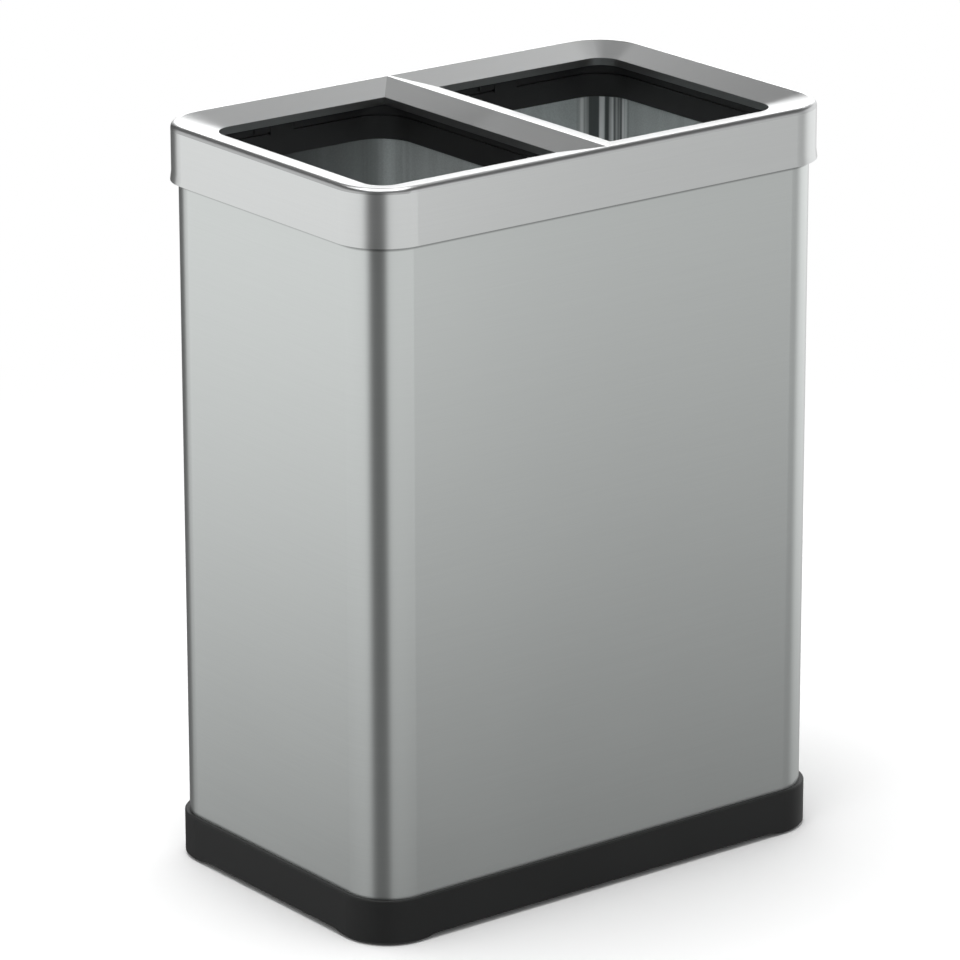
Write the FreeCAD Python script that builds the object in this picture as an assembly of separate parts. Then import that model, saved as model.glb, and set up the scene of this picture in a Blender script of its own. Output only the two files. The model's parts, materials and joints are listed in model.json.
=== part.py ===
import FreeCAD, Part
import math
import os
from FreeCAD import Vector

# A double recycling bin: a rectangular steel body on a black moulded plinth,
# a lift-off steel lid frame with two funnel mouths, and two steel buckets,
# each with a moulded collar and a hinged ring that clamps the bin liner.
#
# Millimetres. X runs along the width, Y along the depth (the back is +Y) and
# Z is up. The origin is on the floor, at the middle of the footprint.

# ---------------------------------------------------------------- driving sizes

# Body tube
body_width = 478.0
body_depth = 299.0
body_corner = 40.0
body_sheet = 0.8
body_top_drop = 15.8
body_top_hem = 8.0
body_foot_flange = 19.0
seam_gap_width = 0.8
seam_gap_depth = 0.3
seam_strip_width = 20.0
seam_strip_sheet = 0.8
seam_strip_margin = 12.0

# Plinth
plinth_overhang = 4.3
plinth_height = 40.2
plinth_wall = 2.5
plinth_shelf_drop = 3.7
plinth_shelf_sheet = 2.5
plinth_shelf_reach = 30.0
plinth_shell_clearance = 0.2
plinth_top_round = 1.2
plinth_foot_bevel = 2.0
plinth_skirt_clearance = 4.7
plinth_foot_length = 42.0
plinth_foot_ramp = 22.0
plinth_foot_sheet = 2.6
plinth_sole_height = 0.8
gusset_sheet = 2.0
gusset_height = 10.0
gussets_per_long_side = 6
gussets_per_short_side = 2

# Rubber pads under the corner feet
pad_radius = 13.0
pad_height = 1.6
pad_centre_inset = 27.0
pad_pocket_clearance = 0.2
pad_tread_bevel = 0.4

# Floor panel inside the body
floor_sheet = 0.8
floor_shell_clearance = 0.3
floor_bead_width = 12.0
floor_bead_depth = 4.0
floor_bead_margin = 45.0
floor_bead_pitch = 120.0
floor_bead_count = 3

# Screws that hold plinth, tube flange and floor panel together
screw_shank_radius = 1.5
screw_hole_clearance = 0.3
screw_head_radius = 3.4
screw_head_height = 2.0
screw_head_taper = 1.0
screw_tail = 3.0
screw_inset = 15.0
screw_pitch = 300.0
screws_per_long_side = 2

# Lid frame
lid_overhang = 6.0
lid_height = 650.0
lid_skirt_drop = 49.0
lid_sheet = 0.8
lid_rim_round = 4.6
lid_rim_flat = 0.8
lid_hem = 3.4
lid_flare = 1.0
lid_flare_height = 8.0
throat_inset_ends = 34.5
throat_inset_faces = 38.5
throat_drop = 7.7
throat_corner = 20.0
lip_height = 6.5
ridge_width = 3.0
ridge_half_base = 28.7

# Moulded inner frame of the lid
frame_wall = 2.0
frame_fit = 0.15
frame_shelf = 2.4
frame_window_clearance = 2.2
frame_upstand_clearance = 0.3
frame_rib_sheet = 2.0
frame_rib_clearance = 0.4
frame_rib_pitch_long = 60.0
frame_rib_pitch_short = 55.0
frame_rib_foot = 6.0
frame_keel = 3.0

# Buckets
bucket_face_inset = 8.0
bucket_corner = 32.0
bucket_sheet = 0.6
bucket_wall_drop = 2.3
bucket_pan_height = 7.6
bucket_pan_bevel = 2.0
bucket_pan_clearance = 0.1

# Moulded collar on each bucket
collar_top_drop = 12.9
collar_height = 20.6
collar_outer_leg = 15.0
collar_inner_leg = 1.8
collar_outer_reach = 2.2
collar_slot_clearance = 0.1
collar_edge_bevel = 0.6

# Hinged liner ring on each collar
ring_groove = 2.4
ring_seat_clearance = 0.3
ring_setback = 1.8
ring_foot_width = 1.4
ring_rise = 10.7
ring_edge_bevel = 0.6
ring_knuckle_width = 16.0

# Hinge of the liner ring
tongue_width = 24.0
tongue_clearance = 0.5
hinge_pin_radius = 1.1
hinge_running_clearance = 0.08
hinge_axis_setback = 0.8
knuckle_radius = 2.2
hinge_pin_fit = 0.02
hinge_cap = 2.0
pin_end_clearance = 0.2

# ------------------------------------------------------------- derived heights
# The lid's crest sets every height above the plinth.  Two helpers close the list:
# how far a cutter runs past what it cuts, and how near counts as the same place.

body_top = lid_height - body_top_drop
skirt_foot = lid_height - lid_skirt_drop
lid_seam = lid_height - lid_rim_round
throat_top = lid_height - throat_drop
lip_foot = throat_top - lip_height
shelf_top = plinth_height - plinth_shelf_drop
shelf_foot = shelf_top - plinth_shelf_sheet
floor_under = shelf_top + body_sheet
floor_top = floor_under + floor_sheet
collar_top = body_top - collar_top_drop
collar_foot = collar_top - collar_height
bucket_wall_top = collar_top - bucket_wall_drop
ring_foot = collar_top + ring_seat_clearance
ring_nose = collar_top + ring_groove
ring_top = collar_top + ring_rise
hinge_axis_height = ring_top - knuckle_radius
over = 1.0
same_place = 0.05


# ------------------------------------------------------------------- geometry

class Plan:
    """A rounded rectangle seen from above: four sides and four corner radii.

    The radii run front left, front right, back right, back left.
    """

    def __init__(self, left, right, front, back, radii):
        self.left = left
        self.right = right
        self.front = front
        self.back = back
        self.radii = radii

    def inset(self, distance):
        """The same shape moved inwards: round corners stay concentric."""
        radii = [max(r - distance, 0.0) if r > 0.0 else 0.0 for r in self.radii]
        return Plan(self.left + distance, self.right - distance,
                    self.front + distance, self.back - distance, radii)

    def wire(self, z):
        corners = ((self.left, self.front, 1, 1, 180.0),
                   (self.right, self.front, -1, 1, 270.0),
                   (self.right, self.back, -1, -1, 0.0),
                   (self.left, self.back, 1, -1, 90.0))
        arcs = []
        for (x, y, inward_x, inward_y, start), radius in zip(corners, self.radii):
            centre = Vector(x + inward_x * radius, y + inward_y * radius, z)
            arcs.append([polar(centre, radius, start + step) for step in (0.0, 45.0, 90.0)])
        edges = []
        for index, arc in enumerate(arcs):
            if self.radii[index] > 0.0:
                edges.append(Part.Arc(*arc).toShape())
            following = arcs[(index + 1) % len(arcs)]
            edges.append(Part.makeLine(arc[2], following[0]))
        return Part.Wire(edges)

    def prism(self, low, high):
        return Part.Face(self.wire(low)).extrude(Vector(0, 0, high - low))

    def capsule(self, low, high):
        """A bar whose two ends are half circles as wide as the bar."""
        middle = (self.left + self.right) / 2
        radius = self.right - middle
        front = Vector(middle, self.front + radius, low)
        back = Vector(middle, self.back - radius, low)
        edges = [Part.Arc(polar(front, radius, 180.0), polar(front, radius, 270.0),
                          polar(front, radius, 0.0)).toShape(),
                 Part.makeLine(polar(front, radius, 0.0), polar(back, radius, 0.0)),
                 Part.Arc(polar(back, radius, 0.0), polar(back, radius, 90.0),
                          polar(back, radius, 180.0)).toShape(),
                 Part.makeLine(polar(back, radius, 180.0), polar(front, radius, 180.0))]
        return Part.Face(Part.Wire(edges)).extrude(Vector(0, 0, high - low))

    def ring(self, thickness, low, high):
        """A wall of the given thickness inside the outline."""
        return self.prism(low, high).cut(self.inset(thickness).prism(low - over, high + over))


def polar(centre, radius, degrees):
    angle = math.radians(degrees)
    return centre + Vector(radius * math.cos(angle), radius * math.sin(angle), 0)


def centred_plan(width, depth, corner):
    return Plan(-width / 2, width / 2, -depth / 2, depth / 2, [corner] * 4)


def loft(lower, low, upper, high):
    """A straight-sided solid between two outlines of the same kind."""
    return Part.makeLoft([lower.wire(low), upper.wire(high)], True, True)


def box(x0, x1, y0, y1, z0, z1):
    return Part.makeBox(x1 - x0, y1 - y0, z1 - z0, Vector(x0, y0, z0))


def fuse(solids):
    return solids[0].multiFuse(solids[1:]).removeSplitter()


def centred_row(count, pitch):
    """That many positions at one pitch, centred on zero."""
    return [(index - (count - 1) / 2.0) * pitch for index in range(count)]


def steps(span, pitch):
    """Positions at the pitch, centred, that fit within half the span."""
    return centred_row(int(span / pitch) + 1, pitch)


def round_edges(solid, radius, chosen):
    return solid.makeFillet(radius, [edge for edge in solid.Edges if chosen(edge)])


def bevel_edges(solid, size, chosen):
    return solid.makeChamfer(size, [edge for edge in solid.Edges if chosen(edge)])


def level(z):
    """Picks the edges that lie flat at one height."""
    def chosen(edge):
        bounds = edge.BoundBox
        return abs(bounds.ZMin - z) < same_place and abs(bounds.ZMax - z) < same_place
    return chosen


body_plan = centred_plan(body_width, body_depth, body_corner)
plinth_plan = body_plan.inset(-plinth_overhang)
lid_plan = body_plan.inset(-lid_overhang)


def bucket_plan(side):
    """Inner faces of the collar and ring: side is -1 for left, 1 for right."""
    near = bucket_face_inset
    far = body_width / 2 - bucket_face_inset
    left, right = (-far, -near) if side < 0 else (near, far)
    half_depth = body_depth / 2 - bucket_face_inset
    return Plan(left, right, -half_depth, half_depth, [bucket_corner] * 4)


def mouth_plan(side, ends, faces, divider, corner):
    """One mouth outline, inset from the lid's edge, square at the divider."""
    far = lid_plan.right - ends
    left, right = (-far, -divider) if side < 0 else (divider, far)
    front = lid_plan.front + faces
    radii = [corner, 0.0, 0.0, corner] if side < 0 else [0.0, corner, corner, 0.0]
    return Plan(left, right, front, -front, radii)


def throat(side):
    return mouth_plan(side, throat_inset_ends, throat_inset_faces, ridge_half_base, throat_corner)


def mouth(side):
    crest = lid_rim_round + lid_rim_flat
    return mouth_plan(side, crest, crest, ridge_width / 2, lid_plan.radii[0] - crest)


# ----------------------------------------------------------------------- body

def screw_places():
    """Centres of the floor screws, along the front and back of the tube's flange."""
    y_side = body_depth / 2 - screw_inset
    return [(x, y) for x in centred_row(screws_per_long_side, screw_pitch) for y in (-y_side, y_side)]


def screw_holes(low, high):
    """Clearance holes for the floor screws, cut through one sheet."""
    radius = screw_shank_radius + screw_hole_clearance
    return Part.makeCompound([Part.makeCylinder(radius, high - low + 2 * over, Vector(x, y, low - over))
                              for x, y in screw_places()])


def body_shell():
    """The tube: one wrapped sheet, hemmed at the top, flanged at the foot."""
    wall = body_plan.ring(body_sheet, shelf_top, body_top)
    hem = body_plan.ring(2 * body_sheet, body_top - body_top_hem, body_top)
    flange = body_plan.ring(body_foot_flange, shelf_top, shelf_top + body_sheet)
    shell = fuse([wall, hem, flange])
    seam = box(-seam_gap_width / 2, seam_gap_width / 2,
               body_depth / 2 - seam_gap_depth, body_depth / 2 + over,
               shelf_top - over, body_top + over)
    return shell.cut(seam).cut(screw_holes(shelf_top, floor_under))


def seam_strip():
    """The backing strip behind the tube's butt seam."""
    outer = body_depth / 2 - body_sheet
    return box(-seam_strip_width / 2, seam_strip_width / 2,
               outer - seam_strip_sheet, outer,
               floor_top + seam_strip_margin, body_top - body_top_hem - seam_strip_margin)


def floor_panel():
    """A flat pressed panel, stiffened by beads pressed down across its depth."""
    plan = body_plan.inset(body_sheet + floor_shell_clearance)
    reach = plan.back - floor_bead_margin
    half = floor_bead_width / 2
    panel = plan.prism(floor_under, floor_top)
    row = centred_row(floor_bead_count, floor_bead_pitch)
    outsides = [bead(x, half, reach, floor_under - floor_bead_depth, floor_top) for x in row]
    insides = [bead(x, half - floor_sheet, reach - floor_sheet,
                    floor_under - floor_bead_depth + floor_sheet, floor_top + over) for x in row]
    panel = fuse([panel] + outsides).cut(Part.makeCompound(insides))
    return panel.cut(screw_holes(floor_under, floor_top))


def bead(x, half, reach, low, high):
    """A straight bar with half-round ends, seen from above."""
    plan = Plan(x - half, x + half, -reach, reach, [half] * 4)
    return plan.capsule(low, high)


def floor_screws():
    """Pan-head screws, driven up through the plinth's shelf."""
    screws = []
    for x, y in screw_places():
        head = Part.makeCone(screw_head_radius - screw_head_taper, screw_head_radius, screw_head_height,
                             Vector(x, y, shelf_foot - screw_head_height))
        shank = Part.makeCylinder(screw_shank_radius, floor_top + screw_tail - shelf_foot,
                                  Vector(x, y, shelf_foot))
        screws.append(head.fuse(shank))
    return Part.makeCompound(screws)


# --------------------------------------------------------------------- plinth

def foot_arch(span):
    """The low arch between two feet, seen from the side: flat with soft ramps."""
    flat = span / 2 - plinth_foot_length - plinth_foot_ramp
    foot = flat + plinth_foot_ramp
    middle = (flat + foot) / 2
    top = plinth_skirt_clearance
    waist = (plinth_sole_height + top) / 2
    poles = ((-foot, 0.0), (-foot, plinth_sole_height), (-middle, waist), (-flat, top),
             (flat, top), (middle, waist), (foot, plinth_sole_height), (foot, 0.0))
    return poles


def arch_cut(span, across, along_x):
    """A cutter through the whole plinth under the given arch."""
    def place(u, z):
        return Vector(u, -across, z) if along_x else Vector(-across, u, z)

    poles = [place(u, z) for u, z in foot_arch(span)]
    low_left, left, left_mid, left_top, right_top, right_mid, right, low_right = poles
    level_u = (right_top - left_top).normalize()
    reach = plinth_foot_ramp / 2
    edges = [Part.makeLine(low_left, left),
             ramp(left, left_mid, left_top, level_u, reach),
             Part.makeLine(left_top, right_top),
             ramp(right_top, right_mid, right, level_u, reach),
             Part.makeLine(right, low_right),
             Part.makeLine(low_right, low_left)]
    depth = Vector(0, 2 * across, 0) if along_x else Vector(2 * across, 0, 0)
    return Part.Face(Part.Wire(edges)).extrude(depth)


def ramp(start, middle, end, direction, reach):
    """A soft S between two levels, flat at both of its ends."""
    curve = Part.BezierCurve()
    curve.setPoles([start, start + direction * reach / 2, middle, end - direction * reach / 2, end])
    return curve.toShape()


def plinth_gussets(inner):
    """Short ribs under the shelf, from the outer wall to the inner skirt, clear of the screws."""
    ribs = []
    low = shelf_foot - gusset_height
    half = gusset_sheet / 2
    pitch = screw_pitch / (gussets_per_long_side - 2)
    wall_y = plinth_plan.back - plinth_wall / 2
    wall_x = plinth_plan.right - plinth_wall / 2
    for x in centred_row(gussets_per_long_side, pitch):
        for y0, y1 in ((-wall_y, inner.front), (inner.back, wall_y)):
            ribs.append(box(x - half, x + half, y0, y1, low, shelf_foot))
    for y in centred_row(gussets_per_short_side, pitch):
        for x0, x1 in ((-wall_x, inner.left), (inner.right, wall_x)):
            ribs.append(box(x0, x1, y - half, y + half, low, shelf_foot))
    return ribs


def foot_wells():
    """Inner walls that close each hollow corner foot."""
    wells = []
    depth = plinth_foot_length + plinth_wall
    for sx in (-1, 1):
        for sy in (-1, 1):
            x = sorted((sx * (plinth_plan.right - depth), sx * plinth_plan.right))
            y = sorted((sy * (plinth_plan.back - depth), sy * plinth_plan.back))
            wells.append(box(x[0], x[1], y[0], y[1], plinth_sole_height, shelf_foot))
    return wells


def pad_places():
    x = plinth_plan.right - pad_centre_inset
    y = plinth_plan.back - pad_centre_inset
    return {"front_left": (-x, -y), "front_right": (x, -y),
            "back_left": (-x, y), "back_right": (x, y)}


def base_plinth():
    """The moulded plinth: outer skirt, shelf, inner skirt, gussets and hollow feet."""
    outer = plinth_plan.prism(plinth_sole_height, plinth_height)
    outer = bevel_edges(outer, plinth_foot_bevel, level(plinth_sole_height))
    outer = round_edges(outer, plinth_top_round, level(plinth_height))
    seat = body_plan.inset(-plinth_shell_clearance).prism(shelf_top, plinth_height + over)
    under = plinth_plan.inset(plinth_wall).prism(plinth_sole_height - over, shelf_foot)
    window = plinth_plan.inset(plinth_shelf_reach).prism(shelf_foot - over, shelf_top + over)
    skirt = outer.cut(seat).cut(under).cut(window)

    inner = plinth_plan.inset(plinth_shelf_reach - plinth_wall)
    inner_skirt = inner.ring(plinth_wall, plinth_skirt_clearance + gusset_sheet, shelf_foot)

    outline = outer.cut(plinth_plan.prism(shelf_foot, plinth_height + over))
    wells = Part.makeCompound(foot_wells()).common(outline)
    hollows = []
    for solid in foot_wells():
        bounds = solid.BoundBox
        centre_x = math.copysign(plinth_wall, -bounds.Center.x)
        centre_y = math.copysign(plinth_wall, -bounds.Center.y)
        core = solid.translated(Vector(-centre_x, -centre_y, plinth_foot_sheet))
        hollows.append(core.common(plinth_plan.inset(plinth_wall).prism(plinth_sole_height, shelf_foot)))
    plinth = fuse([skirt, inner_skirt, wells] + plinth_gussets(inner))
    for hollow in hollows:
        plinth = plinth.cut(hollow)

    plinth = plinth.cut(arch_cut(2 * plinth_plan.right, plinth_plan.back + over, True))
    plinth = plinth.cut(arch_cut(2 * plinth_plan.back, plinth_plan.right + over, False))
    for x, y in pad_places().values():
        plinth = plinth.cut(Part.makeCylinder(pad_radius + pad_pocket_clearance, pad_height,
                                              Vector(x, y, 0)))
    return plinth.cut(screw_holes(shelf_foot, shelf_top))


def foot_pad(x, y):
    """A round rubber pad with a softened tread, set in a pocket of the foot."""
    pad = Part.makeCylinder(pad_radius, pad_height, Vector(x, y, 0))
    return bevel_edges(pad, pad_tread_bevel, level(0.0))


# ------------------------------------------------------------------ lid frame

def lid_band():
    """The skirt round the lid: a straight band, flared and hemmed at its foot."""
    flare_top = skirt_foot + lid_flare_height
    foot = lid_plan.inset(-lid_flare)
    outer = fuse([loft(foot, skirt_foot, lid_plan, flare_top), lid_plan.prism(flare_top, lid_seam)])
    inner = fuse([loft(foot.inset(lid_sheet), skirt_foot, lid_plan.inset(lid_sheet), flare_top),
                  lid_plan.inset(lid_sheet).prism(flare_top, lid_seam + over)])
    hem = lid_plan.inset(-lid_flare / 2).ring(lid_hem, skirt_foot, skirt_foot + lid_sheet).common(outer)
    straight = lid_plan.inset(lid_sheet).prism(skirt_foot - over, flare_top)
    return fuse([outer.cut(inner.fuse(straight)), hem])


def lid_top():
    """The pressed top: rounded rim, two funnels down to a lip, a ridge between."""
    drop = lid_sheet * math.hypot(1.0, throat_drop / throat_inset_faces)
    skin = round_edges(lid_plan.prism(lip_foot, lid_height), lid_rim_round, level(lid_height))
    core = round_edges(lid_plan.inset(lid_sheet).prism(lip_foot - over, lid_height - lid_sheet),
                       lid_rim_round - lid_sheet, level(lid_height - lid_sheet))
    core = core.fuse(lid_plan.inset(-over).prism(lip_foot - over, lid_seam))
    for side in (-1, 1):
        neck = throat(side)
        outer_neck = neck.inset(-lid_sheet)
        skin = skin.cut(loft(neck, throat_top, mouth(side), lid_height))
        skin = skin.cut(neck.prism(lip_foot - over, throat_top))
        core = core.cut(loft(outer_neck, throat_top - drop, mouth(side), lid_height - drop))
        core = core.cut(mouth(side).prism(lid_height - drop, lid_height + over))
        core = core.cut(outer_neck.prism(lip_foot - 2 * over, throat_top - drop))
    return skin.cut(core)


def lid_inner_frame():
    """The moulded frame inside the lid: skirt, shelf with two windows, ribs."""
    skirt_plan = lid_plan.inset(lid_sheet + frame_fit)
    foot = skirt_foot + lid_sheet
    shelf_high = body_top + frame_shelf
    skirt = skirt_plan.ring(frame_wall, foot, lid_seam - frame_upstand_clearance)
    shelf = skirt_plan.prism(body_top, shelf_high)
    parts = [skirt]
    slope = throat_drop / (throat_inset_faces - lid_rim_round - lid_rim_flat)
    for side in (-1, 1):
        window = throat(side).inset(-lid_sheet - frame_window_clearance)
        shelf = shelf.cut(window.prism(body_top - over, shelf_high + over))
        rise = throat_top - lid_sheet - frame_upstand_clearance
        curb = window.inset(-frame_wall).prism(body_top, rise)
        parts.append(curb.cut(window.prism(body_top - over, rise + over)))
    keel_top = lid_height - lid_sheet - frame_upstand_clearance - frame_keel / 2 * slope
    keel = box(-frame_keel / 2, frame_keel / 2, throat(1).front, throat(1).back, body_top, keel_top)
    parts += [shelf, keel]
    parts += locating_ribs(skirt_plan, foot + frame_rib_foot)
    return fuse(parts)


def locating_ribs(skirt_plan, low):
    """Ribs on the skirt that centre the lid on the body tube."""
    ribs = []
    half = frame_rib_sheet / 2
    y0 = body_depth / 2 + frame_rib_clearance
    x0 = body_width / 2 + frame_rib_clearance
    y1 = skirt_plan.back - frame_wall / 2
    x1 = skirt_plan.right - frame_wall / 2
    for x in steps(body_width - 3 * body_corner, frame_rib_pitch_long):
        ribs.append(box(x - half, x + half, y0, y1, low, body_top + half))
        ribs.append(box(x - half, x + half, -y1, -y0, low, body_top + half))
    for y in steps(body_depth - 3 * body_corner, frame_rib_pitch_short):
        ribs.append(box(x0, x1, y - half, y + half, low, body_top + half))
        ribs.append(box(-x1, -x0, y - half, y + half, low, body_top + half))
    return ribs


# -------------------------------------------------------------------- buckets

def wall_plan(side):
    """Outer face of the bucket's steel wall."""
    return bucket_plan(side).inset(-(collar_inner_leg + collar_slot_clearance + bucket_sheet))


def bucket_shell(side):
    """The four walls in one wrapped sheet, standing on the floor panel."""
    return wall_plan(side).ring(bucket_sheet, floor_top, bucket_wall_top)


def bucket_pan(side):
    """The pressed bottom: a dish turned over, its skirt seamed to the walls' foot."""
    plan = wall_plan(side).inset(bucket_sheet + bucket_pan_clearance)
    high = floor_top + bucket_pan_height
    outside = bevel_edges(plan.prism(floor_top, high), bucket_pan_bevel, level(high))
    inner_bevel = bucket_pan_bevel - bucket_sheet * (2.0 - math.sqrt(2.0))
    inside = bevel_edges(plan.inset(bucket_sheet).prism(floor_top - over, high - bucket_sheet),
                         inner_bevel, level(high - bucket_sheet))
    return outside.cut(inside)


def hinge_centre(side):
    plan = bucket_plan(side)
    return (plan.left + plan.right) / 2, plan.back + hinge_axis_setback


def along_x_cylinder(radius, x0, x1, y, z):
    return Part.makeCylinder(radius, x1 - x0, Vector(x0, y, z), Vector(1, 0, 0))


def bucket_collar(side):
    """A moulded channel over the wall's top edge, with a tongue for the ring's hinge."""
    face = bucket_plan(side)
    wall = wall_plan(side)
    outer = wall.inset(-collar_outer_reach)
    body = outer.ring(outer_depth(side), collar_foot, collar_top)
    body = bevel_edges(body, collar_edge_bevel, edge_ring(face, collar_foot))
    slot_width = bucket_sheet + 2 * collar_slot_clearance
    slot_top = bucket_wall_top + collar_slot_clearance
    slot = wall.inset(-collar_slot_clearance).ring(slot_width, collar_foot - over, slot_top)
    leg_trim = outer.inset(-over).ring(over + collar_outer_reach - collar_slot_clearance,
                                       collar_foot - over, collar_top - collar_outer_leg)
    collar = body.cut(slot).cut(leg_trim)
    bore = pin_bore(side, hinge_pin_radius + hinge_pin_fit, tongue_width + 2 * over)
    return fuse([collar, hinge_tongue(side)]).cut(bore)


def outer_depth(side):
    """From the collar's outer face to its inner face."""
    return bucket_plan(side).left - wall_plan(side).inset(-collar_outer_reach).left


def edge_ring(plan, z):
    """Picks the edges of one outline at one height."""
    flat = level(z)
    limits = plan.inset(-same_place)

    def chosen(edge):
        bounds = edge.BoundBox
        inside_x = bounds.XMin > limits.left and bounds.XMax < limits.right
        inside_y = bounds.YMin > limits.front and bounds.YMax < limits.back
        return flat(edge) and inside_x and inside_y
    return chosen


def knuckle(side, x0, x1, low):
    """A block with a round top about the hinge axis, extruded along it."""
    axis_y = hinge_centre(side)[1]
    axis = Vector(x0, axis_y, hinge_axis_height)
    front = Vector(x0, axis_y - knuckle_radius, hinge_axis_height)
    back = Vector(x0, axis_y + knuckle_radius, hinge_axis_height)
    front_foot = Vector(x0, front.y, low)
    back_foot = Vector(x0, back.y, low)
    edges = [Part.Arc(front, axis + Vector(0, 0, knuckle_radius), back).toShape(),
             Part.makeLine(back, back_foot),
             Part.makeLine(back_foot, front_foot),
             Part.makeLine(front_foot, front)]
    return Part.Face(Part.Wire(edges)).extrude(Vector(x1 - x0, 0, 0))


def hinge_tongue(side):
    """The collar's own knuckle: it bridges the groove up to the hinge axis."""
    centre = hinge_centre(side)[0]
    half = tongue_width / 2
    return knuckle(side, centre - half, centre + half, collar_top - over)


def pin_bore(side, radius, length):
    centre, axis_y = hinge_centre(side)
    return along_x_cylinder(radius, centre - length / 2, centre + length / 2,
                            axis_y, hinge_axis_height)


def liner_ring(side):
    """The ring that clamps the liner: it flips up about the hinge at the back."""
    face = bucket_plan(side)
    outer = wall_plan(side).inset(ring_setback - collar_outer_reach)
    depth = face.left - outer.left
    band = outer.ring(depth, ring_nose, ring_top)
    band = bevel_edges(band, ring_edge_bevel, level(ring_top))
    foot = outer.ring(ring_foot_width, ring_foot, ring_nose + over)

    centre = hinge_centre(side)[0]
    gap = tongue_width / 2 + tongue_clearance
    reach = gap + ring_knuckle_width
    room = box(centre - reach, centre + reach, face.back - over, outer.back + over,
               ring_nose, ring_top + over)
    notch = box(centre - gap, centre + gap, face.back - over, outer.back + over,
                ring_foot - over, ring_top + over)
    knuckles = [knuckle(side, centre - reach, centre - gap, ring_nose),
                knuckle(side, centre + gap, centre + reach, ring_nose)]
    ring = fuse([band.fuse(foot).cut(room).cut(notch)] + knuckles)
    bore = pin_bore(side, hinge_pin_radius + hinge_running_clearance, 2 * (reach - hinge_cap))
    return ring.cut(bore)


def hinge_pin(side):
    """A plain steel pin through the ring's two knuckles and the collar's tongue."""
    centre, axis_y = hinge_centre(side)
    half = tongue_width / 2 + tongue_clearance + ring_knuckle_width - hinge_cap - pin_end_clearance
    return along_x_cylinder(hinge_pin_radius, centre - half, centre + half,
                            axis_y, hinge_axis_height)


# --------------------------------------------------------------------- output

def pieces():
    """Every piece by name, one solid or one set of like solids each."""
    found = {"body_shell": body_shell(), "seam_strip": seam_strip(), "floor_panel": floor_panel(),
             "floor_screws": floor_screws(), "base_plinth": base_plinth(),
             "lid_band": lid_band(), "lid_top": lid_top(), "lid_inner_frame": lid_inner_frame()}
    for corner, (x, y) in pad_places().items():
        found["foot_pad_" + corner] = foot_pad(x, y)
    for name, side in (("left", -1), ("right", 1)):
        found["bucket_shell_" + name] = bucket_shell(side)
        found["bucket_pan_" + name] = bucket_pan(side)
        found["bucket_collar_" + name] = bucket_collar(side)
        found["liner_ring_" + name] = liner_ring(side)
        found["hinge_pin_" + name] = hinge_pin(side)
    return found


os.makedirs("parts", exist_ok=True)
for node, shape in pieces().items():
    shape.exportStep(os.path.join("parts", node + ".step"))
    print(node, len(shape.Solids), "solid(s)", round(shape.Volume), "mm3", shape.isValid())
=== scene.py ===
# %% [markdown]
# # Dressing a double recycling bin
# The bin is a brushed steel body on a black moulded plinth. A loose steel lid frame sits on top, with
# two funnel mouths, and two steel buckets with black liner rings stand inside.
# The solids come from the imported model at their real size, so this lesson is about finishes and light:
# how sheet steel gets its grain, how moulded plastic gets its skin, and how a studio is built so that
# metal has something to mirror. A first cell loads the frame. Lengths are in metres, as in the frame.

# %% Load the frame
import json
import math

import bpy
from mathutils import Matrix, Vector


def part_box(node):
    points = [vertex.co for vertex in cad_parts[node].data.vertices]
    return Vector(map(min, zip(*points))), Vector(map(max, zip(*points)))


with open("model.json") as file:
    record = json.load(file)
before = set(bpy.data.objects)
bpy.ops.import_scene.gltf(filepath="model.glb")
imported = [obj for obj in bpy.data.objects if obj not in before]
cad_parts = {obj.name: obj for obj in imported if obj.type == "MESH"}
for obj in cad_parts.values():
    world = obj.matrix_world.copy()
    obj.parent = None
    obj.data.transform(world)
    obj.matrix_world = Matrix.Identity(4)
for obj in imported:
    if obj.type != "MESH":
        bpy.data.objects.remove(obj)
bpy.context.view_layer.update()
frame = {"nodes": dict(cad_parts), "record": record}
nodes = frame["nodes"]

# %% [markdown]
# ## Shader maths as Python
# A material is a graph, and a graph of sums is hard to read as boxes. Wrapping a socket in a small class
# lets the sum be written out: `1 - mask` adds a Math node, and vectors go through Vector Math. Every
# other node comes from one method, which sets the node's own settings first and its sockets after.

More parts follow.
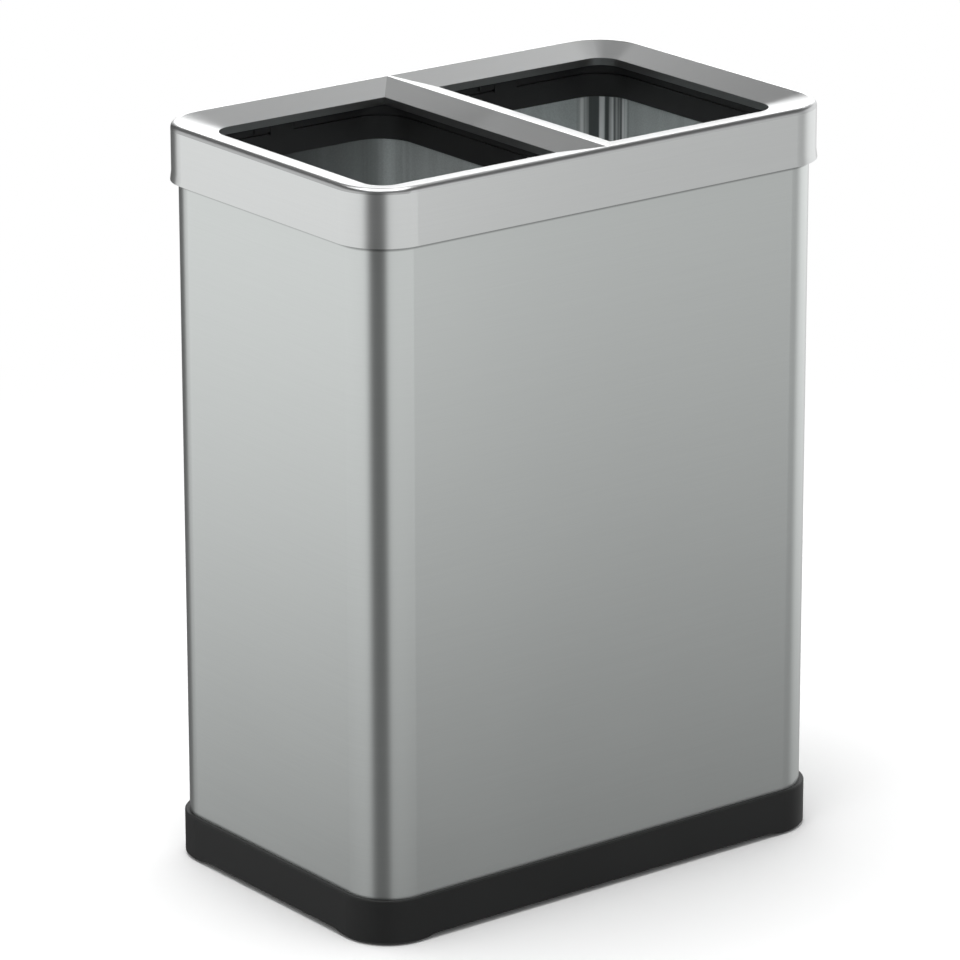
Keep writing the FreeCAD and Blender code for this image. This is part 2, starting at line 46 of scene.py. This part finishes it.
# %% One class for sockets
class Tap:
    """An output socket of a node tree, to be used in sums."""

    def __init__(self, tree, socket=None):
        self.tree = tree
        self.socket = socket

    def node(self, kind, settings=(), sockets=()):
        """Adds a node: its settings first, then the values or links of its inputs."""
        made = self.tree.nodes.new(kind)
        for name, value in dict(settings).items():
            setattr(made, name, value)
        for name, value in dict(sockets).items():
            if isinstance(value, Tap):
                self.tree.links.new(value.socket, made.inputs[name])
            else:
                made.inputs[name].default_value = value
        shown = [socket for socket in made.outputs if socket.enabled]
        return Tap(self.tree, shown[0] if shown else None)

    def out(self, name):
        """Another output of the same node."""
        return Tap(self.tree, self.socket.node.outputs[name])

    def sum(self, operation, *terms):
        """A Math node, or a Vector Math node when a term is a vector."""
        vector = any(isinstance(term, Tap) and term.socket.type == "VECTOR" for term in terms)
        kind = "ShaderNodeVectorMath" if vector else "ShaderNodeMath"
        if vector:
            terms = [(term,) * 3 if isinstance(term, (int, float)) else term for term in terms]
        return self.node(kind, {"operation": operation}, dict(enumerate(terms)))

    def __add__(self, other):
        return self.sum("ADD", self, other)

    def __radd__(self, other):
        return self.sum("ADD", other, self)

    def __sub__(self, other):
        return self.sum("SUBTRACT", self, other)

    def __rsub__(self, other):
        return self.sum("SUBTRACT", other, self)

    def __mul__(self, other):
        return self.sum("MULTIPLY", self, other)

    def __rmul__(self, other):
        return self.sum("MULTIPLY", other, self)

    def __abs__(self):
        return self.sum("ABSOLUTE", self)

    def mix(self, low, high):
        """A colour between two others, with this socket as the factor."""
        return self.node("ShaderNodeMix", {"data_type": "RGBA"}, {0: self, 6: low, 7: high})

    def between(self, start, end, low=0.0, high=1.0, kind="SMOOTHSTEP"):
        """A soft step: low where this is at start, high where it is at end."""
        span = {"From Min": start, "From Max": end, "To Min": low, "To Max": high}
        return self.node("ShaderNodeMapRange", {"interpolation_type": kind}, {"Value": self, **span})


print("operators ready")

# %% [markdown]
# ## An empty material
# Each finish starts as one Principled shader. Values that are the same all over are set on its sockets
# directly, because those are kept when the model is exported, and only what varies is linked. No real
# finish has one even colour, so each tint is split into a darker and a lighter tone to run between.

# %% Starting a material
def start_material(name, **uniform):
    """A new material, a Tap to build with, and its Principled node."""
    material = bpy.data.materials.new(name)
    material.use_nodes = True
    tree = material.node_tree
    shader = tree.nodes["Principled BSDF"]
    for socket, value in uniform.items():
        shader.inputs[socket.replace("_", " ")].default_value = value
    return material, Tap(tree), shader


def feed(tap, shader, **links):
    """Links what varies into the shader's sockets."""
    for socket, value in links.items():
        tap.tree.links.new(value.socket, shader.inputs[socket.replace("_", " ")])


def tones(tint, darker, lighter):
    """A tint's darker and lighter tone, each given as a share of it."""
    return [[min(1.0, value * share) for value in tint] + [1.0] for share in (darker, lighter)]


print("material helpers ready")

# %% [markdown]
# ## Where a point lies
# Grain, clouds and shaded places all start from where a point lies and which way it faces. Both are read
# in the piece's own coordinates, so a lid that is lifted takes its grain along. The unevenness itself is
# noise. Its values gather round a half, so only the middle of its range is stretched to full contrast.

# %% Places, directions and noise
NOISE_SPAN = (0.3, 0.7)


def place(tap):
    """Where a point lies on its piece, in metres."""
    return tap.node("ShaderNodeTexCoord").out("Object")


def facing(tap):
    """Which way the surface faces on its piece."""
    return tap.node("ShaderNodeTexCoord").out("Normal")


def numbers(vector):
    """The X, Y and Z of a vector."""
    split = vector.node("ShaderNodeSeparateXYZ", (), {0: vector})
    return split.out("X"), split.out("Y"), split.out("Z")


def noise(vector, scale, detail=2.0, roughness=0.5):
    """Noise with that many waves to one unit of the vector."""
    return vector.node("ShaderNodeTexNoise", {"noise_dimensions": "3D"},
                       {"Vector": vector, "Scale": scale, "Detail": detail, "Roughness": roughness})


def bump(height, strength, distance, base=None):
    """Relief from a height, on the surface's own direction or on another one."""
    sockets = {"Height": height, "Strength": strength, "Distance": distance}
    if base is not None:
        sockets["Normal"] = base
    return height.node("ShaderNodeBump", (), sockets)


print("noise span:", *NOISE_SPAN)

# %% [markdown]
# ## The grain of brushed sheet
# Satin stainless sheet is drawn past an abrasive belt, which leaves hairlines a few tenths of a
# millimetre apart and a hand's breadth long. They could be an image, but stretched noise never repeats:
# coordinates are squeezed along the lines and spread across them. On the body and the skirt the lines run
# level round the bin, and on the funnels they run along each slope.

# %% Hairlines and streaks, in waves to the metre
HAIRLINE_ALONG = 14.0
HAIRLINE_ACROSS = 2300.0
STREAK_ALONG = 3.0
STREAK_ACROSS = 420.0


def grain_walls(tap):
    """Hairlines and broader streaks that run level round upright walls."""
    here = place(tap)
    fine = noise(here * (HAIRLINE_ALONG, HAIRLINE_ALONG, HAIRLINE_ACROSS), 1.0, 3.0)
    broad = noise(here * (STREAK_ALONG, STREAK_ALONG, STREAK_ACROSS), 1.0)
    return fine, broad


def grain_slopes(tap):
    """The same grain laid along whichever edge a slope belongs to."""
    here = place(tap)
    sideways, forward = [abs(number) for number in numbers(facing(tap))[:2]]
    on_an_end = tap.sum("GREATER_THAN", sideways, forward)
    grains = []
    for along, across in ((HAIRLINE_ALONG, HAIRLINE_ACROSS), (STREAK_ALONG, STREAK_ACROSS)):
        on_faces = noise(here * (along, across, across), 1.0, 3.0)
        on_ends = noise(here * (across, along, across), 1.0, 3.0)
        grains.append(on_faces + on_an_end * (on_ends - on_faces))
    return grains


print("hairlines:", round(1000 / HAIRLINE_ACROSS, 2), "mm apart,",
      round(1000 / HAIRLINE_ALONG), "mm long")

# %% [markdown]
# ## Places with painted shade
# Three places of the lid and body are darker than the sheet round them, and each is painted. A thin line
# of painted shade runs right under the skirt's foot, whose edge shades the body there. The short upright
# lips inside the mouths get a painted dark reflection of the black rings across from them. Slopes that
# face left are clearly darker in the photograph, and slopes that face the front a little, so both get
# painted shade.
# A painted map could say all this, but a height and a direction say it too, and the heights are read from
# the solids.

# %% Painted shade under the skirt, on the lips and on the slopes
SKIRT_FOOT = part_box("lid_band")[0][2]
RIM_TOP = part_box("lid_top")[1][2]
# The heights of the thin line of painted shade under the skirt's foot.
SKIRT_SHADE_START = (SKIRT_FOOT - 0.0048, SKIRT_FOOT - 0.0028)
SKIRT_SHADE_END = (SKIRT_FOOT - 0.0002, SKIRT_FOOT + 0.0010)
# The lips inside the mouths carry a painted dark reflection of the black rings.
LIP_END = (RIM_TOP - 0.0075, RIM_TOP - 0.0060)
LIP_LEAN = (0.45, 0.80)
# How far a slope leans before it gets painted shade, and how deep that shade is.
SLOPE_LEAN = (-0.06, -0.16)
SHADE_FACING_LEFT = 0.40
SHADE_FACING_FRONT = 0.16
SHADE_OF_LIPS = 0.60


def painted_shade_under_skirt(tap):
    """One in a thin line of painted shade just under the skirt's foot."""
    height = numbers(place(tap))[2]
    return height.between(*SKIRT_SHADE_START) * height.between(*SKIRT_SHADE_END, 1.0, 0.0)


def lips(tap):
    """One on the short upright lips inside the mouths, which get a painted dark reflection."""
    height = numbers(place(tap))[2]
    lean = numbers(facing(tap))[2]
    return lean.between(*LIP_LEAN, 1.0, 0.0) * height.between(*LIP_END, 1.0, 0.0)


def slope_shade(tap):
    """How much painted shade darkens the lid's top, by the way it faces, and on the lips."""
    x, y = numbers(facing(tap))[:2]
    left = x.between(*SLOPE_LEAN, 0.0, SHADE_FACING_LEFT)
    front = y.between(*SLOPE_LEAN, 0.0, SHADE_FACING_FRONT)
    slopes = tap.sum("MAXIMUM", left, front)
    return tap.sum("MAXIMUM", slopes, lips(tap) * SHADE_OF_LIPS)


print("skirt's foot:", round(SKIRT_FOOT, 4), "top of the rim:", round(RIM_TOP, 4))

# %% [markdown]
# ## Brushed steel
# The grain shows in three ways: a faint change of tint, a change of gloss, and a relief too shallow to
# feel. It also spreads a reflection up and down while it leaves it sharp sideways, which is what
# anisotropy says. The skirt flares a little at its foot, and a flare would mirror another part of the
# room than the wall above it. The photograph shows no such stripe, so the skirt's relief starts from a
# direction that has the slight lean taken out.

# %% Three brushed finishes
GRAIN_TURN = 0.25
GRAIN_RELIEF = 0.00002
FLARE_LEAN = (0.16, 0.30)
TINT_SWING = 0.030
GLOSS_SWING = 0.015
CLOUD_WAVES = 6.0
SHADE_TINT = (0.02, 0.02, 0.02, 1.0)


def plumb(tap):
    """Which way the surface faces, with a slight lean taken out."""
    normal = tap.node("ShaderNodeNewGeometry").out("Normal")
    leaning = abs(numbers(normal)[2]).between(*FLARE_LEAN)
    level = tap.sum("NORMALIZE", normal * (1.0, 1.0, 0.0))
    return level + leaning * (normal - level)


def brushed_steel(name, grain, tint, roughness, anisotropy, contrast, shade=None, shade_depth=0.0,
                  relief=0.0, base=None):
    """Satin sheet: hairlines in tint, gloss and relief, a faint cloudiness, and a place of painted shade.
    """
    material, tap, shader = start_material(
        name, Metallic=1.0, Anisotropic=anisotropy, Anisotropic_Rotation=GRAIN_TURN)
    fine, broad = grain(tap)
    cloud = noise(place(tap), CLOUD_WAVES)
    lines = fine * 0.75 + broad * 0.25
    swing, spread = TINT_SWING * contrast, GLOSS_SWING * contrast
    dark, light = tones(tint, 1.0 - swing, 1.0 + swing)
    colour = (lines * 0.8 + cloud * 0.2).between(*NOISE_SPAN).mix(dark, light)
    # Painted shade: the given place is mixed towards near black.
    if shade is not None:
        colour = (shade(tap) * shade_depth).mix(colour, SHADE_TINT)
    gloss = lines.between(*NOISE_SPAN, roughness - spread, roughness + spread) + (cloud - 0.5) * 0.04
    feed(tap, shader, Base_Color=colour, Roughness=gloss)
    if relief:
        direction = base(tap) if base is not None else None
        feed(tap, shader, Normal=bump(lines, strength=0.05, distance=relief, base=direction))
    return material


# The body carries the thin line of painted shade under the skirt's foot.
body_steel = brushed_steel(
    "body_steel_brushed", grain_walls, (0.655, 0.681, 0.670), roughness=0.295, anisotropy=0.5,
    contrast=0.6, shade=painted_shade_under_skirt, shade_depth=0.55, relief=GRAIN_RELIEF)
band_steel = brushed_steel(
    "lid_band_brushed", grain_walls, (0.69, 0.705, 0.70), roughness=0.295, anisotropy=0.5,
    contrast=0.6, relief=GRAIN_RELIEF, base=plumb)
# The lid's top carries painted shade on its slopes and its lips.
slope_steel = brushed_steel(
    "lid_top_brushed", grain_slopes, (0.69, 0.70, 0.70), roughness=0.29, anisotropy=0.2,
    contrast=0.25, shade=slope_shade, shade_depth=1.0)
print("steels:", body_steel.name, band_steel.name, slope_steel.name)

# %% [markdown]
# ## Bucket steel
# The buckets are bright rolled sheet, not brushed. Rolling leaves it smoother, with soft upright ripples.
# Where the sheet was bent round a corner it stretched and polished, which breaks a reflection into hard
# upright streaks. Here they are a painted reflection, light and dark streaks in the colour: one noise,
# squeezed upright, is let through only where the wall turns. The left bucket's corners carry only a trace
# of the painted streaks. The inside of its back wall gets painted shade, as the photograph shows it: most
# at its left, and less towards the middle of the bin.

# %% Bright rolled sheet
RIPPLE_WAVES = (70.0, 70.0, 1.0)
PAINTED_STREAK_WAVES = (190.0, 190.0, 0.6)
PAINTED_STREAK_SPAN = (0.37, 0.55)
SPECKLE_WAVES = 700.0
PAINTED_REFLECTION_DARK = (0.13, 0.14, 0.14, 1.0)
PAINTED_REFLECTION_LIGHT = (0.97, 1.0, 1.0, 1.0)
CORNER_TURN = (0.02, 0.22)
BACK_WALL_FACES = (-0.6, -0.95)
BACK_WALL_STANDS = (0.0, 0.05)
RIPPLE_SPAN = (0.32, 0.68)
# The painted shade inside the left bucket's back wall: its tint, where it fades and how deep it is.
INNER_SHADE_TINT = (0.01, 0.01, 0.01, 1.0)
INNER_SHADE_FADES = (-0.120, 0.0)
INNER_SHADE_DEPTHS = (0.88, 0.42)


def turning(tap):
    """One where an upright wall turns a corner, nothing where it is flat."""
    x, y = numbers(facing(tap))[:2]
    return abs(x * y).between(*CORNER_TURN)


def inner_shade(tap):
    """The painted shade inside the left bucket's back wall, which fades from the left to the right."""
    x, y = numbers(place(tap))[:2]
    forward = numbers(facing(tap))[1]
    fading = x.between(*INNER_SHADE_FADES, *INNER_SHADE_DEPTHS, "LINEAR")
    return fading * forward.between(*BACK_WALL_FACES) * y.between(*BACK_WALL_STANDS)


def rolled_steel(name, tint, metal, streaks, shade=None):
    """Rolled sheet with upright ripples, a painted reflection of streaks at the corners, and any painted
    shade.
    """
    material, tap, shader = start_material(name)
    here = place(tap)
    ripple = noise(here * RIPPLE_WAVES, 1.0)
    streak = noise(here * PAINTED_STREAK_WAVES, 1.0, 1.0).between(*PAINTED_STREAK_SPAN)
    speckle = noise(here, SPECKLE_WAVES)
    corner = turning(tap) * streaks
    colour = (ripple * 0.5 + speckle * 0.5).between(*RIPPLE_SPAN).mix(*tones(tint, 0.90, 1.08))
    # Painted reflection: light and dark upright streaks at the corners, mixed into the colour.
    colour = corner.mix(colour, streak.mix(PAINTED_REFLECTION_DARK, PAINTED_REFLECTION_LIGHT))
    if shade is not None:
        # Painted shade, where one is given.
        colour = shade(tap).mix(colour, INNER_SHADE_TINT)
    gloss = speckle.between(*NOISE_SPAN, 0.37, 0.42) - corner * 0.08
    # The lower metal under the streaks is part of the painted reflection.
    feed(tap, shader, Base_Color=colour, Metallic=metal - corner * streak * 0.6, Roughness=gloss,
         Normal=bump(ripple, strength=0.6, distance=0.0008))
    return material


BUCKET_TINT = (0.74, 0.78, 0.78)
# The right bucket carries the painted reflection of corner streaks in full.
bucket_steel = rolled_steel("bucket_steel_rolled", BUCKET_TINT, metal=0.64, streaks=0.95)
# The left bucket's copy carries painted shade inside its back wall and only a trace of the painted
# streaks.
bucket_steel_left = rolled_steel("bucket_left_rolled_painted_shade", BUCKET_TINT, metal=0.46, streaks=0.1,
                                 shade=inner_shade)
print("steels:", bucket_steel.name, bucket_steel_left.name)

# %% [markdown]
# ## Moulded plastic and rubber
# Black mouldings are never quite black: they hold a fine spark-eroded skin from the mould, which scatters
# light, and they polish a little where hands and floors touch them. One function makes them all, from a
# colour, a gloss and the size of the skin's grain.

# %% Black mouldings
PATCH_WAVES = 9.0
HARD_SKIN = {"grain_size": 0.0009, "relief": 0.00008}
FINE_SKIN = {"grain_size": 0.0007, "relief": 0.00005}
RUBBER_SKIN = {"grain_size": 0.0012, "relief": 0.00012}


def moulded(name, tint, roughness, grain_size, relief, specular=0.3):
    """A moulding: a fine skin from the mould, and broad patches that are duller or shinier."""
    material, tap, shader = start_material(name, Specular_IOR_Level=specular)
    here = place(tap)
    skin = noise(here, 1.0 / grain_size, 3.0, 0.6)
    patches = noise(here, PATCH_WAVES, 3.0)
    colour = (skin * 0.5 + patches * 0.5).between(*NOISE_SPAN).mix(*tones(tint, 0.85, 1.2))
    gloss = patches.between(*NOISE_SPAN, roughness - 0.05, roughness + 0.05) + (skin - 0.5) * 0.06
    feed(tap, shader, Base_Color=colour, Roughness=gloss,
         Normal=bump(skin, strength=0.3, distance=relief))
    return material


plinth_black = moulded("plinth_moulded", (0.0115, 0.012, 0.012), 0.46, **HARD_SKIN)
frame_black = moulded("inner_frame_moulded", (0.018, 0.018, 0.018), 0.5, **HARD_SKIN)
collar_black = moulded("collar_moulded", (0.028, 0.028, 0.0285), 0.34, **FINE_SKIN, specular=0.45)
pad_rubber = moulded("pad_rubber_matt", (0.03, 0.03, 0.03), 0.8, **RUBBER_SKIN)
print("mouldings:", plinth_black.name, frame_black.name, collar_black.name, pad_rubber.name)

# %% [markdown]
# ## Zinc and galvanised sheet
# Hidden steel is plated, not polished. Hot-dip zinc freezes in flat crystals a few millimetres wide,
# each with its own grey, which a Voronoi pattern gives. Screws and pins get the same pattern in a lighter
# grey, which on pieces so small reads as a plain bright plating.

# %% Plated steel
CRYSTAL_WAVES = 160.0
FROST_WAVES = 700.0


def galvanised(name, tint):
    """Zinc plating: crystals that differ in grey and gloss, with a fine frost over them."""
    material, tap, shader = start_material(name, Metallic=1.0)
    here = place(tap)
    crystals = tap.node("ShaderNodeTexVoronoi", {"feature": "F1"},
                        {"Vector": here, "Scale": CRYSTAL_WAVES})
    grey = tap.node("ShaderNodeSeparateColor", (), {0: crystals.out("Color")})
    frost = noise(here, FROST_WAVES, 3.0)
    colour = (grey * 0.7 + frost * 0.3).mix(*tones(tint, 0.75, 1.2))
    gloss = grey.between(0.0, 1.0, 0.38, 0.55)
    feed(tap, shader, Base_Color=colour, Roughness=gloss,
         Normal=bump(frost, strength=0.2, distance=0.00004))
    return material


galvanised_steel = galvanised("galvanised_sheet", (0.5, 0.51, 0.52))
zinc_steel = galvanised("zinc_plated", (0.6, 0.6, 0.57))
print("plated:", galvanised_steel.name, zinc_steel.name)

# %% [markdown]
# ## Handing the finishes to the solids
# The record names one slot for each node, and the slot names a finish. Three solids differ from others of
# their slot: the skirt's grain runs round it and the lid top's along its slopes, and the left bucket has
# its own shade. The solids keep their shapes and only change material.

# %% Assign the materials
FINISH_OF_SLOT = {
    "body_steel": body_steel, "bucket_steel": bucket_steel, "galvanised_steel": galvanised_steel,
    "zinc_steel": zinc_steel, "plinth_black": plinth_black, "frame_black": frame_black,
    "collar_black": collar_black, "pad_rubber": pad_rubber}
FINISH_OF_NODE = {"lid_band": band_steel, "lid_top": slope_steel, "bucket_shell_left": bucket_steel_left}

for part in frame["record"]["subparts"]:
    name = part["node"]
    finish = FINISH_OF_NODE.get(name) or FINISH_OF_SLOT[part["material_slot"]]
    mesh = nodes[name].data
    mesh.materials.clear()
    mesh.materials.append(finish)
    print(name, "->", finish.name)

# %% [markdown]
# ## The studio
# Metal shows only what stands around it, so the studio is built for the metal first. Lit cloths hang in a
# ring two metres off: one at the left, one in front with a dimmer one beside it, and one at the right,
# with dark gaps between them. A brighter one hangs high behind, for the funnels. Cloths this near make
# a wall fade towards its foot, because each point looks further down the cloth than the point above it,
# and painted sky at infinity can't do that.

# %% The lit cloths
# Compass directions are in degrees from the right, turning by the back. Heights are in metres.
SIDE_FOOT = {"foot": -0.48, "foot_soft": 0.72}
FRONT_FOOT = {"foot": -0.41, "foot_soft": 0.64}
REAR_FOOT = {"foot": 0.66, "foot_soft": 0.16}
CLOTHS = {
    "left": {"middle": 156.5, "reach": 42.5, "side_soft": 9.0, "level": 0.89, **SIDE_FOOT},
    "front": {"middle": 267.0, "reach": 31.0, "side_soft": 6.0, "level": 0.81, **FRONT_FOOT},
    "front_right": {"middle": 308.0, "reach": 12.0, "side_soft": 6.0, "level": 0.55, **FRONT_FOOT},
    "right": {"middle": 0.0, "reach": 30.0, "side_soft": 18.0, "level": 0.94, **SIDE_FOOT},
    "rear": {"middle": 52.0, "reach": 24.0, "side_soft": 10.0, "level": 2.4, **REAR_FOOT}}


def hang_cloth(azimuth, height, middle, reach, side_soft, foot, foot_soft, level):
    """The light of one cloth by compass direction and height: soft at both sides and at its foot."""
    rad = math.radians
    away = abs(azimuth.sum("WRAP", azimuth - rad(middle), math.pi, -math.pi))
    sides = away.between(rad(reach - side_soft), rad(reach + side_soft), 1.0, 0.0)
    return sides * height.between(foot - foot_soft, foot + foot_soft) * level


print("cloths:", list(CLOTHS))

# %% [markdown]
# ## The ring that carries them
# All cloths are drawn on one open cylinder, over a dim ground, so their soft sides can overlap. Only
# reflections see the cylinder: it throws no shadow, and the camera looks through it.

# %% The ring
RING_RADIUS = 2.0
RING_FOOT = -1.8
RING_TOP = 1.5
RING_GLOOM = 0.13


def emissive(name):
    """An empty material tree for things that shine, and a Tap to build it with."""
    material = bpy.data.materials.new(name)
    material.use_nodes = True
    material.node_tree.nodes.clear()
    return material, Tap(material.node_tree)


def build_ring():
    """The open cylinder, with the cloths as its light."""
    bpy.ops.mesh.primitive_cylinder_add(
        vertices=96, radius=RING_RADIUS, depth=RING_TOP - RING_FOOT, end_fill_type="NOTHING",
        location=(0.0, 0.0, (RING_TOP + RING_FOOT) / 2))
    bpy.ops.object.transform_apply(location=True)
    ring = bpy.context.object
    ring.name = "cloth_ring"
    material, tap = emissive("lit_cloths")
    x, y, height = numbers(place(tap))
    azimuth = tap.sum("ARCTAN2", y, x)
    light = RING_GLOOM
    for cloth in CLOTHS.values():
        light = hang_cloth(azimuth, height, **cloth) + light
    shine = tap.node("ShaderNodeEmission", (), {"Strength": light})
    tap.node("ShaderNodeOutputMaterial", (), {"Surface": shine})
    ring.data.materials.append(material)
    for ray in ("camera", "diffuse", "shadow", "transmission", "volume_scatter"):
        setattr(ring, "visible_" + ray, False)
    return ring


ring = build_ring()
print("ring:", ring.name, "from", RING_FOOT, "to", RING_TOP, "m")

# %% [markdown]
# ## Above and below the ring
# Reflections that pass over the ring find a pale band and then a dim ceiling, which draws the thin dark
# line along the lid's rounded rim. The band glows more at the back right, which the lid's upward faces
# mirror to the camera. Reflections that pass under the ring find pale paper, because walls seen from
# high above would turn black without it. The room's own light is even, and the camera sees plain white
# behind the bin.

# %% The world
# Angles are in degrees: over the horizon, and round from the right by the back.
CEILING_LEVEL = 0.05
PALE_BAND_LEVEL = 0.17
PALE_BAND_FOOT = (12.0, 22.0)
PALE_BAND_TOP = (40.0, 48.0)
GLOW_LEVEL = 0.36
GLOW_MIDDLE = 35.0
GLOW_EDGE = (12.0, 28.0)
PAPER_LEVEL = 0.50
PAPER_EDGE = (-46.0, -62.0)
ROOM_LEVEL = 0.70
SURROUND_GREY = (0.8, 0.8, 0.8, 1.0)
WHITE = (1.0, 1.0, 1.0, 1.0)


def step(angle, span, low=0.0, high=1.0):
    """A soft step of an angle between two others in degrees."""
    return angle.between(math.radians(span[0]), math.radians(span[1]), low, high)


def build_world():
    """One background for reflections, one for the room's light and one for the camera."""
    world = bpy.data.worlds.new("studio_world")
    bpy.context.scene.world = world
    world.use_nodes = True
    world.node_tree.nodes.clear()
    tap = Tap(world.node_tree)
    x, y, z = numbers(tap.node("ShaderNodeTexCoord").out("Generated"))
    elevation = tap.sum("ARCSINE", z)
    azimuth = tap.sum("ARCTAN2", y, x)
    band = step(elevation, PALE_BAND_FOOT) * step(elevation, PALE_BAND_TOP, 1.0, 0.0)
    glow = step(abs(azimuth - math.radians(GLOW_MIDDLE)), GLOW_EDGE, 1.0, 0.0)
    paper = step(elevation, PAPER_EDGE) * PAPER_LEVEL
    light = band * (glow * GLOW_LEVEL + PALE_BAND_LEVEL) + paper + CEILING_LEVEL
    mirrored, room, white = [
        tap.node("ShaderNodeBackground", (), {"Color": colour, "Strength": level})
        for colour, level in ((SURROUND_GREY, light), (WHITE, ROOM_LEVEL), (WHITE, 1.0))]
    ray = tap.node("ShaderNodeLightPath")
    around = tap.node("ShaderNodeMixShader", (), {0: ray.out("Is Glossy Ray"), 1: room, 2: mirrored})
    surface = tap.node("ShaderNodeMixShader", (), {0: ray.out("Is Camera Ray"), 1: around, 2: white})
    tap.node("ShaderNodeOutputWorld", (), {"Surface": surface})
    return world


world = build_world()
print("world:", world.name)

# %% [markdown]
# ## The lamp overhead
# One large soft lamp hangs over the bin. It gives the floor and the black mouldings their level, drops a
# soft shadow round the plinth, and shines down into the two buckets.

# %% The overhead lamp
def soft_lamp(name, spot, aim, width, depth, watts):
    """A rectangular soft lamp that hangs at one spot and looks at another."""
    data = bpy.data.lights.new(name, "AREA")
    data.shape = "RECTANGLE"
    data.size = width
    data.size_y = depth
    data.energy = watts
    lamp = bpy.data.objects.new(name, data)
    bpy.context.scene.collection.objects.link(lamp)
    lamp.location = spot
    lamp.rotation_euler = (Vector(aim) - Vector(spot)).to_track_quat("-Z", "Y").to_euler()
    return lamp


overhead = soft_lamp("overhead_softbox", spot=(-0.18, 0.08, 2.7), aim=(0.0, 0.0, 0.0),
                     width=2.2, depth=1.9, watts=60.0)
print("lamp:", overhead.name)

# %% [markdown]
# ## Floor
# The floor is a pale sheet that keeps the bin's soft shadow and melts into the white behind it. Its
# glow is only for the camera and grows with distance, so that no edge shows.

# %% The floor sheet
FLOOR_RADIUS = 9.0
FLOOR_FADE = (0.35, 1.5)
PAPER_COLOUR = (0.93, 0.93, 0.93, 1.0)


def build_floor():
    """The sheet: paper near the bin, plain white far from it."""
    bpy.ops.mesh.primitive_circle_add(vertices=96, radius=FLOOR_RADIUS, fill_type="NGON")
    sheet = bpy.context.object
    sheet.name = "floor_sheet"
    material, tap = emissive("floor_paper")
    here = place(tap)
    far = tap.sum("LENGTH", here).out("Value").between(*FLOOR_FADE)
    paper = tap.node("ShaderNodeBsdfDiffuse", (), {"Color": PAPER_COLOUR})
    glow = tap.node("ShaderNodeEmission", (), {"Color": WHITE, "Strength": 1.0})
    seen = tap.node("ShaderNodeLightPath").out("Is Camera Ray")
    surface = tap.node("ShaderNodeMixShader", (), {0: seen * far, 1: paper, 2: glow})
    tap.node("ShaderNodeOutputMaterial", (), {"Surface": surface})
    sheet.data.materials.append(material)
    sheet.visible_glossy = False
    return sheet


floor = build_floor()
print("floor:", floor.name)

# %% [markdown]
# ## Camera
# The camera stands where a fit of the bin's edges puts it: about five metres off, above and to the left
# of the front, behind a long lens.

# %% Place the camera
CAMERA_PLACE = Vector((-2.85644, -3.68770, 1.84205))
CAMERA_YAW = math.radians(37.592)
CAMERA_PITCH = math.radians(18.019)
CAMERA_ROLL = math.radians(-0.095)
FOCAL_PIXELS = 5746.42
PICTURE_PIXELS = 960.0
SENSOR_WIDTH_MM = 36.0
FAR_CLIP = 100.0


def build_camera():
    """The camera, turned by its yaw, its pitch down and its roll."""
    data = bpy.data.cameras.new("photo_camera")
    data.sensor_width = SENSOR_WIDTH_MM
    data.lens = FOCAL_PIXELS / PICTURE_PIXELS * data.sensor_width
    data.clip_end = FAR_CLIP
    forward = Vector((math.cos(CAMERA_PITCH) * math.sin(CAMERA_YAW),
                      math.cos(CAMERA_PITCH) * math.cos(CAMERA_YAW), -math.sin(CAMERA_PITCH)))
    right = Vector((math.cos(CAMERA_YAW), -math.sin(CAMERA_YAW), 0.0))
    up = right.cross(forward)
    tilted_right = math.cos(CAMERA_ROLL) * right + math.sin(CAMERA_ROLL) * up
    tilted_up = math.cos(CAMERA_ROLL) * up - math.sin(CAMERA_ROLL) * right
    camera = bpy.data.objects.new("photo_camera", data)
    bpy.context.scene.collection.objects.link(camera)
    axes = Matrix((tilted_right, tilted_up, -forward)).transposed()
    camera.matrix_world = Matrix.Translation(CAMERA_PLACE) @ axes.to_4x4()
    bpy.context.scene.camera = camera
    return camera


camera = build_camera()
bpy.context.scene.view_settings.view_transform = "Standard"
print("lens:", round(camera.data.lens, 1), "mm")
